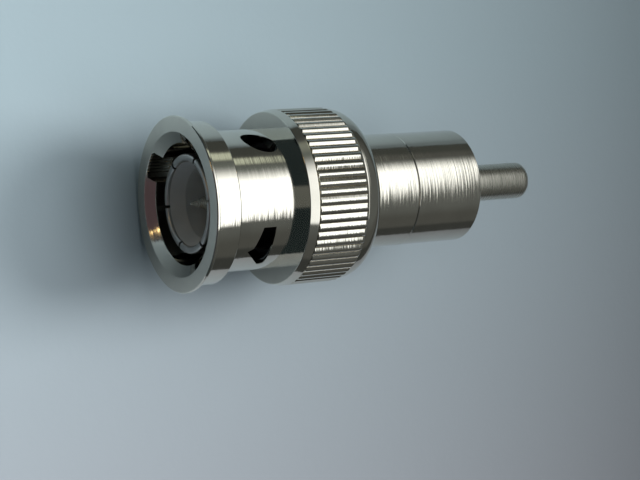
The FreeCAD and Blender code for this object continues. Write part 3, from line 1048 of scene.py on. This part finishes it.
class ADAPTER_OT_stage(BuildPiece, bpy.types.Operator):
    """Build the table, the soft light and the camera"""

    bl_idname = "adapter.stage"
    bl_label = "Stage"

    def execute(self, context):
        shape = bmesh.new()
        shape.faces.new([shape.verts.new((x, TABLE_HEIGHT, z)) for x, z in TABLE_CORNERS])
        table = shaped("table", shape)
        if table.data.polygons[0].normal.y > 0:
            table.data.flip_normals()
        coat(table, table_top("pale_table", self.tones.table))
        self.light(context)
        self.lamp(context)
        self.camera(context)
        return {"FINISHED"}

    def lamp(self, context):
        """A soft lamp over the phono end, so that the mouth throws its shadow forward."""
        soft = bpy.data.lights.new("soft_lamp", "AREA")
        soft.shape = "DISK"
        soft.size = 0.13
        soft.energy = 0.47
        soft.color = (1.0, 0.99, 0.96)
        lamp = bpy.data.objects.new("soft_lamp", soft)
        context.scene.collection.objects.link(lamp)
        way = LAMP_WAY.normalized()
        lamp.location = Vector((0, 0, 8 * MM)) + way * LAMP_DISTANCE
        lamp.rotation_euler = way.to_track_quat("Z", "Y").to_euler()
        lamp.visible_glossy = False

    def camera(self, context):
        lens = bpy.data.cameras.new("camera")
        lens.sensor_width = 36.0
        lens.lens = 101.25
        lens.clip_start = 0.005
        camera = bpy.data.objects.new("camera", lens)
        context.scene.collection.objects.link(camera)
        place = Matrix.Identity(4)
        for column, axis in enumerate(CAMERA_AXES):
            for row in range(3):
                place[row][column] = axis[row]
        for row in range(3):
            place[row][3] = CAMERA_PLACE[row]
        camera.matrix_world = place
        context.scene.camera = camera

    def light(self, context):
        world = bpy.data.worlds.new("soft_room")
        context.scene.world = world
        world.use_nodes = True
        tree = world.node_tree
        nodes, link = tree.nodes, tree.links.new
        nodes.clear()
        coords = nodes.new("ShaderNodeTexCoord")
        split = nodes.new("ShaderNodeSeparateXYZ")
        link(coords.outputs["Generated"], split.inputs[0])

        def sum_of(kind, first, second=None, third=None):
            made = nodes.new("ShaderNodeMath")
            made.operation = kind
            for socket, value in zip(made.inputs, (first, second, third)):
                if value is None:
                    continue
                if isinstance(value, (int, float)):
                    socket.default_value = value
                else:
                    link(value, socket)
            return made.outputs[0]

        back_x = sum_of("MULTIPLY", split.outputs["X"], -1.0)
        back_y = sum_of("MULTIPLY", split.outputs["Y"], -1.0)
        around = sum_of("MULTIPLY", sum_of("ARCTAN2", back_x, back_y), DEGREES)
        rise = sum_of("MULTIPLY", sum_of("ARCSINE", split.outputs["Z"]), DEGREES)

        def edge(value, start, end):
            made = nodes.new("ShaderNodeMapRange")
            made.interpolation_type = "SMOOTHSTEP"
            made.inputs["From Min"].default_value = start
            made.inputs["From Max"].default_value = end
            link(value, made.inputs["Value"])
            return made.outputs["Result"]

        def panel(low, high, bottom, top, soft, soft_rise):
            """A patch of the room between two angles round the axis and two rises, in degrees."""
            inside = sum_of(
                "MULTIPLY",
                edge(around, low - soft, low + soft),
                edge(around, high + soft, high - soft),
            )
            above = edge(rise, bottom - soft_rise, bottom + soft_rise)
            below = edge(sum_of("SUBTRACT", rise, top), soft_rise, -soft_rise)
            return sum_of("MULTIPLY", sum_of("MULTIPLY", inside, above), below)

        def laid(share, under, over):
            made = nodes.new("ShaderNodeMix")
            made.data_type = "RGBA"
            link(share, made.inputs[0])
            for socket, value in ((made.inputs[6], under), (made.inputs[7], over)):
                if isinstance(value, tuple):
                    socket.default_value = (*value, 1)
                else:
                    link(value, socket)
            return made.outputs[2]

        # The dim walls, and two pale patches of them above the adapter
        wide = sum_of("ABSOLUTE", around)
        room = laid(edge(wide, 42.0, 66.0), (0.125, 0.135, 0.13), (0.092, 0.096, 0.09))
        room = laid(edge(wide, 83.0, 90.0), room, (0.05, 0.054, 0.052))
        room = laid(edge(around, 66.0, 78.0), room, (0.06, 0.066, 0.06))
        room = laid(panel(52, 67, -8, 12, 4, 3.0), room, (0.25, 0.27, 0.23))
        room = laid(panel(57, 69, 12, 29.4, 3, 1.5), room, (0.74, 0.80, 0.64))
        # The bright window, whose upper edge is bent, and the glow round it
        bend = sum_of("MULTIPLY", sum_of("MULTIPLY", around, around), -0.0017)
        window_top = sum_of("ADD", sum_of("MULTIPLY_ADD", around, 0.115, 34.6), bend)
        glow = panel(-30, 54, -4, sum_of("ADD", window_top, 1.8), 8, 1.8)
        room = laid(glow, room, (0.165, 0.185, 0.17))
        higher = sum_of("MAXIMUM", sum_of("SUBTRACT", rise, 29.0), 0.0)
        across = sum_of("MULTIPLY_ADD", higher, -2.2, around)
        sides = sum_of("MULTIPLY", edge(across, 49.0, 20.0), edge(around, -39.5, -34.5))
        below_top = edge(sum_of("SUBTRACT", rise, window_top), 1.1, -1.5)
        window = sum_of("MULTIPLY", sum_of("MULTIPLY", sides, below_top), edge(rise, -8.0, 0.0))
        shine = laid(edge(rise, 6.0, 24.0), (1.45, 1.5, 1.5), (2.2, 2.26, 2.26))
        room = laid(window, room, shine)
        # What the mouth sees: a dark front, a paler patch, a reddish end and a small warm lamp
        room = laid(edge(rise, -4.0, -12.0), room, (0.03, 0.045, 0.052))
        room = laid(panel(-21, 14, -44, -18, 2, 4.0), room, (0.20, 0.22, 0.22))
        room = laid(edge(rise, -40.0, -52.0), room, (0.06, 0.06, 0.066))
        room = laid(edge(rise, -66.0, -72.0), room, (0.085, 0.06, 0.068))
        room = laid(panel(84, 101, -71.0, -64.5, 2, 0.6), room, (8.0, 5.6, 2.4))
        rays = nodes.new("ShaderNodeLightPath")
        seen = laid(rays.outputs["Is Camera Ray"], room, ROOM_COLOUR)
        background = nodes.new("ShaderNodeBackground")
        link(seen, background.inputs["Color"])
        output = nodes.new("ShaderNodeOutputWorld")
        link(background.outputs[0], output.inputs["Surface"])


class ADAPTER_PT_panel(bpy.types.Panel):
    """The adapter's pieces and sizes"""

    bl_label = "Video Adapter"
    bl_idname = "ADAPTER_PT_panel"
    bl_space_type = "VIEW_3D"
    bl_region_type = "UI"
    bl_category = "Adapter"

    def draw(self, context):
        column = self.layout.column()
        for operator in STEPS:
            column.operator(operator.bl_idname)
        for group in ("adapter_nut", "adapter_barrel", "adapter_contact", "adapter_tones"):
            owner = getattr(context.scene, group)
            for name in owner.__annotations__:
                column.prop(owner, name)


STEPS = (
    ADAPTER_OT_stage,
    ADAPTER_OT_coupling_nut,
    ADAPTER_OT_barrel,
    ADAPTER_OT_finger_sleeve,
    ADAPTER_OT_pins,
    ADAPTER_OT_insulators,
    ADAPTER_OT_washers,
)
GROUPS = {
    "adapter_nut": NutSizes,
    "adapter_barrel": BarrelSizes,
    "adapter_contact": ContactSizes,
    "adapter_tones": FinishTones,
}


def register():
    for group in GROUPS.values():
        bpy.utils.register_class(group)
    for operator in STEPS:
        bpy.utils.register_class(operator)
    bpy.utils.register_class(ADAPTER_PT_panel)
    for name, group in GROUPS.items():
        setattr(bpy.types.Scene, name, PointerProperty(type=group))


def unregister():
    for name in GROUPS:
        delattr(bpy.types.Scene, name)
    bpy.utils.unregister_class(ADAPTER_PT_panel)
    for operator in reversed(STEPS):
        bpy.utils.unregister_class(operator)
    for group in GROUPS.values():
        bpy.utils.unregister_class(group)


def main():
    register()
    bpy.context.scene.view_settings.view_transform = "Standard"
    for operator in STEPS:
        group, name = operator.bl_idname.split(".")
        getattr(getattr(bpy.ops, group), name)()


if __name__ == "__main__":
    main()
